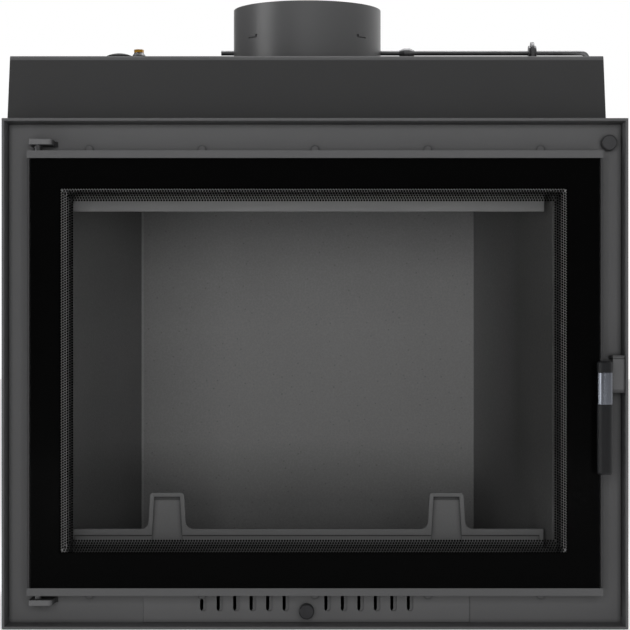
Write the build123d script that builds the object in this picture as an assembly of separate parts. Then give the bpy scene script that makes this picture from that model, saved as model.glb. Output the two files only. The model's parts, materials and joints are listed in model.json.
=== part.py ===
from build123d import *
import os
from math import cos, radians, sin, tan

# Fireplace insert: a steel firebox in a sheet casing, set behind a box frame, with a glazed
# door on the left-hand side hinges, a primary air slider and a butterfly damper in the flue.
# Millimetres. X runs to the right, Y into the fireplace and Z up. The origin is on the floor,
# under the middle of the frame's width and halfway through the depth.
# Depths below are measured backwards from the front edge of the frame.

# ---------------------------------------------------------------- overall sizes
total_depth = 430
frame_width = 700
frame_height = 571
frame_sheet = 3
frame_return = 10
lip_depth = 42
panel_sheet = 3

# ---------------------------------------------------------------- casing
casing_sheet = 3
casing_setback = 19
casing_width = frame_width - casing_setback
hood_rise = 79
casing_height = frame_height + hood_rise
hood_lean = 16.6
hood_lap = 14
hood_bend = 6
hood_foot = 18
flue_hole_gap = 0.4
tray_upstand = 22
body_left_x = -frame_width / 2
body_right_x = body_left_x + casing_width

# ---------------------------------------------------------------- firebox
firebox_center_x = (body_left_x + body_right_x) / 2
shell_plate = 4
shell_bend = 6
shell_floor_z = 55
shell_roof_drop = 44
shell_roof_z = casing_height - shell_roof_drop
seat_depth = 35
lining = 25
side_air_gap = 58.5
lining_taper = 69
lining_front_half = casing_width / 2 - side_air_gap
lining_back_half = lining_front_half - lining_taper
rear_air_gap = 45
hearth_thickness = 25
hearth_back_depth = total_depth - rear_air_gap
baffle_rear_drop = 74
baffle_rise = 33
baffle_length = 215
baffle_thickness = 25
baffle_seat = 15
baffle_rear_z = frame_height - baffle_rear_drop
baffle_front_z = baffle_rear_z + baffle_rise
baffle_front_depth = hearth_back_depth - baffle_length
air_bar_depth = 85
air_bar_height = 28
air_bar_drop = 71
air_bar_high_z = frame_height - air_bar_drop
air_bar_low_z = air_bar_high_z - air_bar_height
air_bar_sheet = 3
air_bar_lip = 24
air_bar_gap = 1
air_bar_hanger = 22
air_bar_hanger_inset = 42
air_bar_hanger_x = lining_front_half - air_bar_hanger_inset
channel_sheet = 3
channel_flange = 30
channel_inset = 12
channel_offset = lining_back_half - channel_inset - 1

# ---------------------------------------------------------------- log fence
fence_depth = 96
fence_thickness = 8
fence_end_gap = 8
fence_half_width = lining_front_half - fence_end_gap
fence_rail_height = 21
fence_pillar_share = 0.5905
fence_pillar_offset = fence_half_width * fence_pillar_share
fence_pillar_top = 39
fence_pillar_foot = 46
fence_pillar_height = 63
fence_bead = 4.5
fence_recess = 2.5
fence_foot_radius = 9
fence_corner_radius = 4
fence_field_top = 30
fence_field_foot = 36.5
fence_rail_bead = 7
fence_rail_step = 1.2

# ---------------------------------------------------------------- flue collar and damper
flue_rear_gap = 176
flue_depth = total_depth - flue_rear_gap
flue_radius = 90
flue_wall = 2
flue_lower_wall = 4
flue_rise = 78
flue_top_z = casing_height + flue_rise
stop_tab_angles = (-47, 47, 133, -133)
stop_tab_rise = 38
stop_tab_z = casing_height + stop_tab_rise
stop_slit_length = 14
stop_slit_height = 1.5
stop_relief = 2
stop_relief_lift = 1.6
stop_tab_width = 10
stop_tab_reach = 5.5
spindle_rise = 27
spindle_z = casing_height + spindle_rise
spindle_radius = 3
running_gap = 0.06
spindle_stub = 15.5
crank_gap = 0.5
crank_x = body_right_x + crank_gap + spindle_radius
crank_bend = 8
crank_arm = 45
crank_tail = 7
blade_turn = 66
blade_gap = 6
blade_sheet = 2
blade_notch = 20
blade_screw_offset = flue_radius / 2
stop_collar_radius = 6
stop_collar_length = 18.3
stop_collar_gap = 22.9
stop_collar_slope = 6
stop_collar_edge_radius = 3.4
bracket_edge_gap = 66.7
bracket_x = body_right_x - bracket_edge_gap
bracket_sheet = 4
bracket_half = 13.5
bracket_foot = 18
bracket_screw_offset = 8
washer_radius = 9
washer_thickness = 2.5
small_screw_radius = 2
small_head_radius = 3.5
small_head_height = 2.8

# ---------------------------------------------------------------- ports on the top sheet
port_depth = 150
cap_edge_gap = 119
cap_x = body_left_x + cap_edge_gap
cap_radius = 15
cap_rise = 12.8
cap_dome = 3.2
port_spacing = 23
boss_x = cap_x + port_spacing
boss_top_radius = 5.2
boss_foot_radius = 7.8
boss_rise = 13.8
boss_shoulder = 3.8
plug_across = 10.2
plug_rise = 3.4
plug_thread_radius = 4
plug_thread_length = 9

# ---------------------------------------------------------------- damper pull
pull_side_gap = 1.3
pull_x = body_right_x + pull_side_gap
pull_drop = 25
pull_z = frame_height - pull_drop
pull_knob_radius = 8.5
pull_knob_front = 24
pull_knob_length = 16
pull_rod_radius = 3
pull_rod_end = 110
pull_rod_inset = 6
pull_notch_gap = 1.5
link_sheet = 3
link_height = 10
link_arm_width = 12
link_tab_reach = 10
link_slot = 12.5
link_gap = 0.4
strap_sheet = 2
strap_width = 10
strap_foot = 9
strap_gap = 0.3
strap_depths = (130, 205)

# ---------------------------------------------------------------- door
door_side_gap = 28
door_width = frame_width - 2 * door_side_gap
door_half = door_width / 2
door_low_z = 37.4
door_top_gap = 36.1
door_high_z = frame_height - door_top_gap
door_skirt = 2.5
door_plate = 3
door_back_depth = 36
window_border = 44
window_half_width = door_half - window_border
window_low_z = 78
window_high_z = door_high_z - window_border + 0.1
glass_thickness = 4
glass_gap = 0.2
glass_edge_gap = 0.3
gasket_thickness = 1.8
gasket_width = 24
rail_sheet = 2
rail_face = 8.4
rail_web = 20
rope_radius = 5.6
rope_channel = 16
rope_channel_depth = 6
rope_corner = 13
seal_gap = 0.3
screw_count_per_rail = 5
rail_screw_end = 42
rail_screw_pitch = (door_width - 2 * rail_screw_end) / (screw_count_per_rail - 1)
rail_screw_depth = 14
rail_screw_head = 4

# ---------------------------------------------------------------- hinges
hinge_inset = 10.5
hinge_x = -door_half + hinge_inset
hinge_depth = 17
hinge_pin_radius = 4.4
hinge_spigot_radius = 3.5
hinge_sleeve_radius = 6
hinge_sleeve_length = 26
hinge_gap = 0.3
hinge_edge = 8.9
hinge_width = 26
hinge_left_x = hinge_x - hinge_edge
hinge_right_x = hinge_left_x + hinge_width
hinge_front_depth = 3
hinge_thickness = 6
hinge_corner = 2
hinge_round = 5
hinge_weld = 3
top_hinge_drop = 29
top_hinge_z = frame_height - top_hinge_drop
bottom_hinge_z = 26

# ---------------------------------------------------------------- handle and latch
shaft_overhang = 4.2
shaft_x = door_half + shaft_overhang
shaft_rise = 7.5
shaft_z = frame_height / 2 + shaft_rise
shaft_radius = 3.5
shaft_front_depth = -11
boss_lap = 8
boss_overhang = 9.5
boss_drop = 9
boss_rise_above = 9.5
boss_left_x = door_half - boss_lap
boss_right_x = door_half + boss_overhang
boss_low_z = shaft_z - boss_drop
boss_high_z = shaft_z + boss_rise_above
boss_front_depth = 22
boss_back_depth = 33
boss_corner = 4
tongue_front_depth = 14
tongue_thickness = 6
tongue_reach = 16
tongue_angle = 10
tongue_tip_radius = 3
tongue_hub_radius = 6
tongue_room = 1.5
nut_gap = 0.2
nut_thickness = 5
nut_across = 10
shaft_end = 1.5
keeper_gap = 10.9
keeper_left_x = door_half + keeper_gap
keeper_drop = 29
keeper_rise = 13
keeper_low_z = shaft_z - keeper_drop
keeper_high_z = shaft_z + keeper_rise
keeper_front_depth = 2
keeper_wall = 3
keeper_bevel = 2.2
grip_offset = 5.3
grip_x = shaft_x - grip_offset
grip_depth = -21
grip_radius = 8.7
grip_drop = 119
grip_rise = 6.5
grip_low_z = shaft_z - grip_drop
grip_top_z = shaft_z + grip_rise
ring_drop = 41.6
ring_top_drop = 6
ring_low_z = shaft_z - ring_drop
ring_high_z = shaft_z - ring_top_drop
core_radius = 4
core_foot = 8
core_head = 3.5
core_low_z = grip_low_z + core_foot
core_high_z = grip_top_z - core_head
lug_height = 9
lug_side = 3.6
grip_round = 2.4
ring_chamfer = 0.4

# ---------------------------------------------------------------- primary air
air_plate_half = 185.5
air_plate_high_z = 45
air_plate_gap = 0.25
slot_pitch = 18.72
slot_first = 23.7
slots_per_side = 6
slot_width = 7.3
slot_low_z = 15.6
slot_high_z = 37
slot_travel = 3.65
slider_sheet = 2
slider_gap = 0.3
slider_low_z = 13.4
slider_high_z = 43
slider_half = 150
air_knob_z = 17
air_knob_radius = 8.35
air_knob_front = 22
air_knob_back = 38
air_shank_radius = 2.5
knob_chamfer = 0.9
guide_sheet = 2
guide_gap = 0.4
guide_cover = 8
guide_lap = 2
guide_half = 170

# ---------------------------------------------------------------- panel screws
panel_screws_per_row = 5
panel_screw_end = 94
panel_screw_pitch = (frame_width - 2 * panel_screw_end) / (panel_screws_per_row - 1)
panel_screw_head = 4.5
panel_screw_rise = 2.5
panel_screw_round = 1.4
panel_screw_shank = 2.5
screw_top_drop = 31.5
screw_top_z = frame_height - screw_top_drop
screw_bottom_z = 34.2

# ---------------------------------------------------------------- derived places
front_y = -total_depth / 2
panel_depth = lip_depth
panel_back = panel_depth + panel_sheet
frame_back = panel_back + frame_sheet
seat_wall = shell_plate
seat_back = panel_depth + seat_depth
shell_half = lining_front_half + lining + shell_plate
shell_back_depth = hearth_back_depth + lining + shell_plate
hearth_low_z = shell_floor_z + shell_plate
hearth_top_z = hearth_low_z + hearth_thickness
hood_back_depth = frame_back + (casing_height - frame_height) * tan(radians(hood_lean))
glass_front = rail_sheet + glass_gap
glass_back = glass_front + glass_thickness
plate_front = glass_back + gasket_thickness
plate_back = plate_front + door_plate
glass_half = door_half - door_skirt - glass_edge_gap
skirt_low_z = door_low_z + rail_sheet
skirt_high_z = door_high_z - rail_sheet
sleeve_low_z = skirt_low_z + door_skirt
sleeve_high_z = skirt_high_z - door_skirt
blade_radius = flue_radius - flue_lower_wall - blade_gap


def block(x_low, x_high, depth_low, depth_high, z_low, z_high):
    # A box between two X places, two depths behind the frame's front edge and two heights.
    size = (x_high - x_low, depth_high - depth_low, z_high - z_low)
    corner = Pos(x_low, front_y + depth_low, z_low)
    return corner * Box(*size, align=(Align.MIN, Align.MIN, Align.MIN))


def plate(rect, depth_low, depth_high):
    # An upright plate over a rectangle given as left, right, bottom and top.
    left, right, bottom, top = rect
    return block(left, right, depth_low, depth_high, bottom, top)


def grown(rect, amount):
    left, right, bottom, top = rect
    return (left - amount, right + amount, bottom - amount, top + amount)


def border(outer, inner, depth_low, depth_high):
    # An upright rectangular ring; the hole is cut right through.
    return plate(outer, depth_low, depth_high) - plate(inner, depth_low - 1, depth_high + 1)


def rod_along_y(x, z, radius, depth_low, depth_high):
    # A round bar that runs from front to back.
    length = depth_high - depth_low
    bar = Rot(-90, 0, 0) * Cylinder(radius, length, align=(Align.CENTER, Align.CENTER, Align.MIN))
    return Pos(x, front_y + depth_low, z) * bar


def rod_along_z(x, depth, radius, z_low, z_high):
    bar = Cylinder(radius, z_high - z_low, align=(Align.CENTER, Align.CENTER, Align.MIN))
    return Pos(x, front_y + depth, z_low) * bar


def rod_along_x(depth, z, radius, x_low, x_high):
    bar = Cylinder(radius, x_high - x_low, align=(Align.CENTER, Align.CENTER, Align.MIN))
    return Pos(x_low, front_y + depth, z) * Rot(0, 90, 0) * bar


def side_plate(points, x_low, x_high):
    # A plate that stands in the YZ plane, from an outline of (depth, height) points.
    outline = Polyline(*[(front_y + depth, z) for depth, z in points], close=True)
    face = Plane.YZ.offset(x_low) * make_face(outline)
    return extrude(face, amount=x_high - x_low)


def floor_plate(points, z_low, z_high):
    # A level plate from an outline of (x, depth) points.
    outline = Polyline(*[(x, front_y + depth) for x, depth in points], close=True)
    face = Plane.XY.offset(z_low) * make_face(outline)
    return extrude(face, amount=z_high - z_low)


def front_outline(shape_2d, depth_low, depth_high):
    # Extrudes a sketch drawn in X and Z into a plate between two depths.
    face = Plane.XZ.offset(-(front_y + depth_low)) * shape_2d
    return extrude(face, amount=-(depth_high - depth_low))


def joined(shapes):
    # One node holding several separate solids.
    return Compound(children=[solid for shape in shapes for solid in shape.solids()])


def round_edges(shape, axis):
    # The circular edges of a turned piece, in order along an axis.
    return shape.edges().filter_by(GeomType.CIRCLE).sort_by(axis)


def screw_places(pitch, count):
    return [(index - (count - 1) / 2) * pitch for index in range(count)]


# ================================================================ frame and panel
frame_rect = (-frame_width / 2, frame_width / 2, 0, frame_height)
inside_rect = grown(frame_rect, -frame_sheet)
window_rect = (-window_half_width, window_half_width, window_low_z, window_high_z)
air_plate_rect = (
    firebox_center_x - air_plate_half,
    firebox_center_x + air_plate_half,
    frame_sheet,
    air_plate_high_z,
)


def make_front_frame():
    lip = border(frame_rect, inside_rect, 0, frame_back)
    back_return = border(inside_rect, grown(inside_rect, -frame_return), panel_back, frame_back)
    return lip + back_return


def panel_screw_list():
    rows = (screw_top_z, screw_bottom_z)
    return [(x, z) for z in rows for x in screw_places(panel_screw_pitch, panel_screws_per_row)]


def drilled_for_panel_screws(sheet):
    for x, z in panel_screw_list():
        sheet -= rod_along_y(x, z, panel_screw_shank, panel_depth - 1, panel_back + 1)
    return sheet


def make_flange_panel():
    panel = border(inside_rect, grown(window_rect, seat_wall), panel_depth, panel_back)
    panel -= plate(air_plate_rect, panel_depth - 1, panel_back + 1)
    panel = drilled_for_panel_screws(panel)
    return panel - rod_along_y(
        pull_x, pull_z, pull_rod_radius + running_gap, panel_depth - 1, panel_back + 1
    )


def make_panel_screws():
    screws = []
    for x, z in panel_screw_list():
        head = rod_along_y(x, z, panel_screw_head, panel_depth - panel_screw_rise, panel_depth)
        head = fillet(round_edges(head, Axis.Y)[0], panel_screw_round)
        shank = rod_along_y(x, z, panel_screw_shank, panel_depth, panel_back)
        screws.append(head + shank)
    return joined(screws)


# ================================================================ primary air control
def slot_centers():
    steps = [slot_first + slot_pitch * index for index in range(slots_per_side)]
    return [firebox_center_x + side * step for side in (-1, 1) for step in steps]


def slot_top(x):
    # A slot that would run into a screw's shank stops short of it.
    reach = panel_screw_shank + slot_width / 2
    screws = screw_places(panel_screw_pitch, panel_screws_per_row)
    blocked = any(abs(place - x) < reach for place in screws)
    return screw_bottom_z - panel_screw_shank - 1.2 if blocked else slot_high_z


def air_slot(x, top, depth_low, depth_high):
    height = top - slot_low_z
    outline = Pos(x, slot_low_z + height / 2) * SlotOverall(height, slot_width, rotation=90)
    return front_outline(outline, depth_low, depth_high)


def make_air_cover_plate():
    sheet = plate(grown(air_plate_rect, -air_plate_gap), panel_depth, panel_back)
    for x in slot_centers():
        sheet -= air_slot(x, slot_top(x), panel_depth - 1, panel_back + 1)
    knob_slot = Pos(firebox_center_x, air_knob_z) * SlotCenterToCenter(
        2 * (slot_travel + slider_gap), 2 * (air_shank_radius + slider_gap)
    )
    sheet -= front_outline(knob_slot, panel_depth - 1, panel_back + 1)
    return drilled_for_panel_screws(sheet)


def make_air_slider():
    front = panel_back + slider_gap
    back = front + slider_sheet
    left = firebox_center_x - slider_half
    right = firebox_center_x + slider_half
    sheet = plate((left, right, slider_low_z, slider_high_z), front, back)
    for x in slot_centers():
        sheet -= air_slot(x - slot_travel, slot_top(x), front - 1, back + 1)
    return sheet


def make_air_knob():
    knob = rod_along_y(firebox_center_x, air_knob_z, air_knob_radius, air_knob_front, air_knob_back)
    knob = chamfer(round_edges(knob, Axis.Y)[0], knob_chamfer)
    shank_back = panel_back + slider_gap
    return knob + rod_along_y(firebox_center_x, air_knob_z, air_shank_radius, air_knob_back, shank_back)


def make_slider_guides():
    # A stepped strip over the slider's top edge and a flat one behind its bottom edge.
    left = firebox_center_x - guide_half
    right = firebox_center_x + guide_half
    slot_back = panel_back + 2 * slider_gap + slider_sheet
    low = slider_high_z + guide_gap
    high = slider_high_z + guide_cover
    foot = block(left, right, panel_back, slot_back, low, high)
    lip = block(left, right, slot_back, slot_back + guide_sheet, slider_high_z - guide_lap, high)
    lower = block(left, right, frame_back, frame_back + guide_sheet, frame_sheet, slider_low_z + guide_lap)
    return joined([foot + lip, lower])


# ================================================================ casing
def hood_line(z):
    # Depth of the hood's outer face at a height.
    return frame_back + (z - frame_height) * tan(radians(hood_lean))


def make_base_tray():
    back = total_depth - casing_sheet
    floor = block(body_left_x, body_right_x, frame_back, total_depth, 0, casing_sheet)
    left = body_left_x + casing_sheet
    right = body_right_x - casing_sheet
    top = casing_sheet + tray_upstand
    floor += block(left, left + casing_sheet, frame_back, back, casing_sheet, top)
    floor += block(right - casing_sheet, right, frame_back, back, casing_sheet, top)
    floor += block(left, right, back - casing_sheet, back, casing_sheet, top)
    return floor


def make_casing_side(side):
    # The side sheet follows the inner face of the hood in front.
    top = casing_height - casing_sheet
    back = total_depth - casing_sheet
    outline = [
        (frame_back, casing_sheet), (back, casing_sheet), (back, top),
        (hood_line(top), top), (frame_back, frame_height),
    ]
    left = body_left_x if side < 0 else body_right_x - casing_sheet
    sheet = side_plate(outline, left, left + casing_sheet) - make_hood_front()
    return sheet.solids().sort_by(SortBy.VOLUME)[-1]


def make_casing_left():
    return make_casing_side(-1)


def make_casing_right():
    # A notch at the front edge lets the damper's pull rod out.
    half = pull_rod_radius + pull_notch_gap
    notch = block(
        body_right_x - 2 * casing_sheet, body_right_x + casing_sheet,
        frame_back - 1, pull_rod_end + pull_notch_gap, pull_z - half, pull_z + half
    )
    return make_casing_side(1) - notch


def make_casing_back():
    return block(
        body_left_x, body_right_x, total_depth - casing_sheet, total_depth, casing_sheet, casing_height
    )


def make_casing_top():
    front = hood_back_depth + hood_lap
    low = casing_height - casing_sheet
    top = block(body_left_x, body_right_x, front, total_depth - casing_sheet, low, casing_height)
    return top - rod_along_z(
        firebox_center_x, flue_depth, flue_radius + flue_hole_gap, low - 1, casing_height + 1
    )


def make_hood_front():
    # One bent sheet: a straight foot behind the frame, the leaning face and a rounded top edge.
    outline = FilletPolyline(
        (front_y + frame_back, frame_height - hood_foot),
        (front_y + frame_back, frame_height),
        (front_y + hood_back_depth, casing_height),
        (front_y + hood_back_depth + hood_lap, casing_height),
        radius=hood_bend,
    )
    section = offset(outline, amount=casing_sheet, side=Side.RIGHT, closed=True, kind=Kind.ARC)
    face = Plane.YZ.offset(body_left_x) * make_face(section)
    return extrude(face, amount=casing_width)


def make_support_rails():
    # Two folded channels carry the firebox clear of the base tray.
    front = seat_back + channel_inset
    back = shell_back_depth - channel_inset
    rails = []
    for side in (-1, 1):
        x = firebox_center_x + side * channel_offset
        web = block(x, x + channel_sheet, front, back, casing_sheet, shell_floor_z)
        foot = block(x, x + channel_flange, front, back, casing_sheet, casing_sheet + channel_sheet)
        head = block(x, x + channel_flange, front, back, shell_floor_z - channel_sheet, shell_floor_z)
        rails.append(web + foot + head)
    return joined(rails)


# ================================================================ firebox
def make_door_seat():
    outer = grown(window_rect, seat_wall)
    tunnel = border(outer, window_rect, panel_depth, seat_back)
    flange_rect = (
        firebox_center_x - shell_half,
        firebox_center_x + shell_half,
        shell_floor_z,
        shell_roof_z + shell_plate,
    )
    return tunnel + border(flange_rect, window_rect, seat_back - shell_plate, seat_back)


def make_shell_floor():
    return block(
        firebox_center_x - shell_half + shell_plate, firebox_center_x + shell_half - shell_plate,
        seat_back, shell_back_depth - shell_plate, shell_floor_z, shell_floor_z + shell_plate
    )


def make_shell_roof():
    roof = block(
        firebox_center_x - shell_half, firebox_center_x + shell_half,
        seat_back, shell_back_depth, shell_roof_z, shell_roof_z + shell_plate
    )
    smoke_hole = flue_radius - flue_lower_wall
    return roof - rod_along_z(
        firebox_center_x, flue_depth, smoke_hole, shell_roof_z - 1, shell_roof_z + shell_plate + 1
    )


def make_shell_wrap():
    # The sides and the back are folded from one plate.
    half = shell_half
    outer = block(
        firebox_center_x - half, firebox_center_x + half,
        seat_back, shell_back_depth, shell_floor_z, shell_roof_z
    )
    inner = block(
        firebox_center_x - half + shell_plate, firebox_center_x + half - shell_plate,
        seat_back - 1, shell_back_depth - shell_plate, shell_floor_z - 1, shell_roof_z + 1
    )
    wrap = outer - inner
    corners = wrap.edges().filter_by(Axis.Z).group_by(Axis.Y)[-1]
    return fillet(corners, shell_bend)


baffle_slope = (baffle_front_z - baffle_rear_z) / (hearth_back_depth - baffle_front_depth)


def baffle_underside(depth):
    return baffle_rear_z + (hearth_back_depth - depth) * baffle_slope


def below_baffle(shape):
    # Cuts a lining off along the sloping underside of the baffle.
    far = total_depth
    near = 0
    cutter = side_plate(
        [
            (near, baffle_underside(near)), (far, baffle_underside(far)),
            (far, casing_height), (near, casing_height),
        ],
        -frame_width, frame_width
    )
    return shape - cutter


def lining_half(depth):
    # Half-width between the side linings at a depth.
    share = (depth - seat_back) / (hearth_back_depth - seat_back)
    return lining_front_half + (lining_back_half - lining_front_half) * share


def make_side_lining(side):
    outline = [
        (firebox_center_x + side * lining_half(seat_back), seat_back),
        (firebox_center_x + side * lining_half(hearth_back_depth), hearth_back_depth),
        (firebox_center_x + side * (lining_half(hearth_back_depth) + lining), hearth_back_depth),
        (firebox_center_x + side * (lining_half(seat_back) + lining), seat_back),
    ]
    panel = floor_plate(outline, hearth_top_z, shell_roof_z)
    return below_baffle(panel)


def make_back_lining():
    half = lining_back_half + lining
    panel = block(
        firebox_center_x - half, firebox_center_x + half,
        hearth_back_depth, hearth_back_depth + lining, hearth_top_z, shell_roof_z
    )
    return below_baffle(panel)


def make_hearth_slab():
    half = lining_front_half + lining
    slab = block(
        firebox_center_x - half, firebox_center_x + half,
        seat_back, hearth_back_depth + lining, hearth_low_z, hearth_top_z
    )
    return slab


def make_baffle_plate():
    # The baffle leans forward and up, and rests on the sloping tops of the linings.
    rear = hearth_back_depth + baffle_seat
    front = baffle_front_depth
    half_front = lining_half(front) + baffle_seat
    half_rear = lining_back_half + baffle_seat
    outline = [
        (firebox_center_x - half_front, front), (firebox_center_x + half_front, front),
        (firebox_center_x + half_rear, rear), (firebox_center_x - half_rear, rear),
    ]
    column = floor_plate(outline, air_bar_low_z, shell_roof_z)
    slab = side_plate(
        [
            (front, baffle_underside(front)), (rear, baffle_underside(rear)),
            (rear, baffle_underside(rear) + baffle_thickness),
            (front, baffle_underside(front) + baffle_thickness),
        ],
        -frame_width, frame_width
    )
    return column & slab


def make_air_wash_bar():
    # An angle across the throat, hung from the seat's rear flange by two blocks.
    half = lining_half(air_bar_depth + air_bar_lip) - air_bar_gap
    left = firebox_center_x - half
    right = firebox_center_x + half
    top = air_bar_high_z
    face = block(left, right, air_bar_depth, air_bar_depth + air_bar_sheet, air_bar_low_z, top)
    lip = block(left, right, air_bar_depth, air_bar_depth + air_bar_lip, top - air_bar_sheet, top)
    bar = face + lip
    for side in (-1, 1):
        x = firebox_center_x + side * air_bar_hanger_x
        bar += block(
            x - air_bar_hanger / 2, x + air_bar_hanger / 2, seat_back, air_bar_depth,
            air_bar_low_z + air_bar_hanger, top
        )
    return bar


def fence_pillar(side, foot_width, top_width, low, high):
    x = firebox_center_x + side * fence_pillar_offset
    foot = foot_width / 2
    head = top_width / 2
    corners = ((x - foot, low), (x + foot, low), (x + head, high), (x - head, high))
    return make_face(Polyline(*corners, close=True))


def fence_outline():
    # A low rail with two tapered pillars growing out of it.
    rail_top = hearth_top_z + fence_rail_height
    pillar_top = hearth_top_z + fence_pillar_height
    middle = Pos(firebox_center_x, rail_top - fence_rail_height / 2)
    outline = middle * Rectangle(2 * fence_half_width, fence_rail_height)
    for side in (-1, 1):
        outline += fence_pillar(side, fence_pillar_foot, fence_pillar_top, hearth_top_z, pillar_top)
    feet = [
        vertex for vertex in outline.vertices()
        if abs(vertex.Y - rail_top) < 0.01 and abs(vertex.X - firebox_center_x) < fence_half_width / 1.2
    ]
    outline = fillet(feet, fence_foot_radius)
    heads = [vertex for vertex in outline.vertices() if abs(vertex.Y - pillar_top) < 0.01]
    return fillet(heads, fence_corner_radius)


def make_log_fence():
    # A casting: a stepped rail, and pillars with a deeper field inside a raised bead.
    fence = front_outline(fence_outline(), fence_depth, fence_depth + fence_thickness)
    low = hearth_top_z + fence_bead
    half = fence_half_width - fence_bead
    fence -= block(
        firebox_center_x - half, firebox_center_x + half, fence_depth - 1, fence_depth + fence_rail_step,
        low, hearth_top_z + fence_rail_height - fence_rail_bead
    )
    high = hearth_top_z + fence_pillar_height - fence_bead
    for side in (-1, 1):
        field = fence_pillar(side, fence_field_foot, fence_field_top, low, high)
        fence -= front_outline(field, fence_depth - 1, fence_depth + fence_recess)
    return fence


# ================================================================ flue collar and damper
def stop_tab_place(angle):
    return Pos(firebox_center_x, front_y + flue_depth, stop_tab_z) * Rot(0, 0, angle)


def make_flue_collar():
    # The upper part is a socket for the smoke pipe; the wall is thicker below it.
    low = shell_roof_z + shell_plate
    step_z = stop_tab_z - stop_slit_height / 2
    tube = rod_along_z(firebox_center_x, flue_depth, flue_radius, low, flue_top_z)
    tube -= rod_along_z(firebox_center_x, flue_depth, flue_radius - flue_lower_wall, low - 1, flue_top_z)
    tube -= rod_along_z(firebox_center_x, flue_depth, flue_radius - flue_wall, step_z, flue_top_z + 1)
    tube -= rod_along_x(
        flue_depth, spindle_z, spindle_radius + running_gap,
        firebox_center_x - 2 * flue_radius, firebox_center_x + 2 * flue_radius
    )
    # Four lanced stops for the smoke pipe: a slit, a round relief and a tab bent inwards.
    socket = flue_radius - flue_wall
    for angle in stop_tab_angles:
        turn = stop_tab_place(angle)
        toward_front = -1 if sin(radians(angle)) > 0 else 1
        slit = Pos(0, -socket, 0) * Box(stop_slit_length, 4 * flue_wall, stop_slit_height)
        relief = Rot(90, 0, 0) * Cylinder(stop_relief, 4 * flue_wall)
        tube -= turn * slit
        tube -= turn * Pos(toward_front * stop_slit_length / 2, -socket, stop_relief_lift) * relief
        tab = Box(stop_tab_width, stop_tab_reach, flue_wall, align=(Align.CENTER, Align.MIN, Align.MAX))
        tube += turn * Pos(0, -socket, -stop_slit_height / 2) * tab
    return tube


def spindle_path():
    # Straight across the collar, then bent down outside the casing into a crank.
    lean = radians(blade_turn / 2)
    reach = crank_arm / cos(lean) + crank_tail
    depth = front_y + flue_depth
    start = (firebox_center_x - flue_radius - spindle_stub, depth, spindle_z)
    corner = (crank_x, depth, spindle_z)
    end = (crank_x, depth + reach * sin(lean), spindle_z - reach * cos(lean))
    return FilletPolyline(start, corner, end, radius=crank_bend)


def make_damper_spindle():
    path = spindle_path()
    section = Plane(origin=path @ 0, z_dir=path % 0) * Circle(spindle_radius)
    return sweep(section, path=path)


def make_damper_blade():
    # A disc with a pressed groove that saddles the spindle, and a notch that never shuts.
    center = Pos(firebox_center_x, front_y + flue_depth, spindle_z)
    disc = Cylinder(blade_radius, blade_sheet, align=(Align.CENTER, Align.CENTER, Align.MIN))
    ridge = Rot(0, 90, 0) * Cylinder(spindle_radius + blade_sheet, 2 * (blade_radius - blade_sheet * 2))
    ridge &= Pos(0, 0, blade_radius) * Box(4 * blade_radius, 4 * blade_radius, 2 * blade_radius)
    blade = disc + ridge
    blade -= Rot(0, 90, 0) * Cylinder(spindle_radius, 3 * blade_radius)
    blade -= Pos(0, blade_radius, 0) * Cylinder(blade_notch, 4 * blade_sheet)
    for side in (-1, 1):
        blade -= Pos(side * blade_screw_offset, 0, 0) * Cylinder(small_screw_radius, 4 * spindle_radius)
    return center * blade


def small_screw(shank_length):
    # A hexagon head whose underside is at zero, with the shank below.
    head = extrude(RegularPolygon(small_head_radius, 6, major_radius=False), amount=small_head_height)
    top = (Align.CENTER, Align.CENTER, Align.MAX)
    return head + Cylinder(small_screw_radius, shank_length, align=top)


def make_blade_screws():
    seat = spindle_z + spindle_radius + blade_sheet
    places = [firebox_center_x + side * blade_screw_offset for side in (-1, 1)]
    return joined([Pos(x, front_y + flue_depth, seat) * small_screw(blade_sheet) for x in places])


def make_spindle_stop_collar():
    left = firebox_center_x + flue_radius + stop_collar_gap
    right = left + stop_collar_length
    outline = Polyline(
        (left, spindle_radius), (left, stop_collar_edge_radius),
        (left + stop_collar_slope, stop_collar_radius), (right - stop_collar_slope, stop_collar_radius),
        (right, stop_collar_edge_radius), (right, spindle_radius),
        close=True,
    )
    return Pos(0, front_y + flue_depth, spindle_z) * revolve(make_face(outline), Axis.X)


def bracket_screw_places():
    x = bracket_x + bracket_sheet + bracket_foot / 2
    return [(x, flue_depth + side * bracket_screw_offset) for side in (-1, 1)]


def make_spindle_bracket():
    # An upright bearing plate with a rounded top, and a foot on the casing's top sheet.
    left = bracket_x
    right = bracket_x + bracket_sheet
    near = flue_depth - bracket_half
    far = flue_depth + bracket_half
    upright = block(left, right, near, far, casing_height, spindle_z)
    upright += rod_along_x(flue_depth, spindle_z, bracket_half, left, right)
    upright -= rod_along_x(flue_depth, spindle_z, spindle_radius + running_gap, left - 1, right + 1)
    foot = block(left, right + bracket_foot, near, far, casing_height, casing_height + bracket_sheet)
    for x, depth in bracket_screw_places():
        foot -= rod_along_z(x, depth, small_screw_radius, casing_height, casing_height + bracket_sheet)
    return upright + foot


def make_bracket_screws():
    seat = casing_height + bracket_sheet
    places = bracket_screw_places()
    return joined([Pos(x, front_y + depth, seat) * small_screw(bracket_sheet) for x, depth in places])


def make_spindle_washers():
    # One each side of the bracket; they turn with the spindle and keep it in place.
    gap = running_gap * 5
    left = bracket_x - gap - washer_thickness
    right = bracket_x + bracket_sheet + gap
    washers = [
        rod_along_x(flue_depth, spindle_z, washer_radius, start, start + washer_thickness)
        for start in (left, right)
    ]
    bore = rod_along_x(flue_depth, spindle_z, spindle_radius, left - 1, right + washer_thickness + 1)
    return joined([washer - bore for washer in washers])


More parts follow.
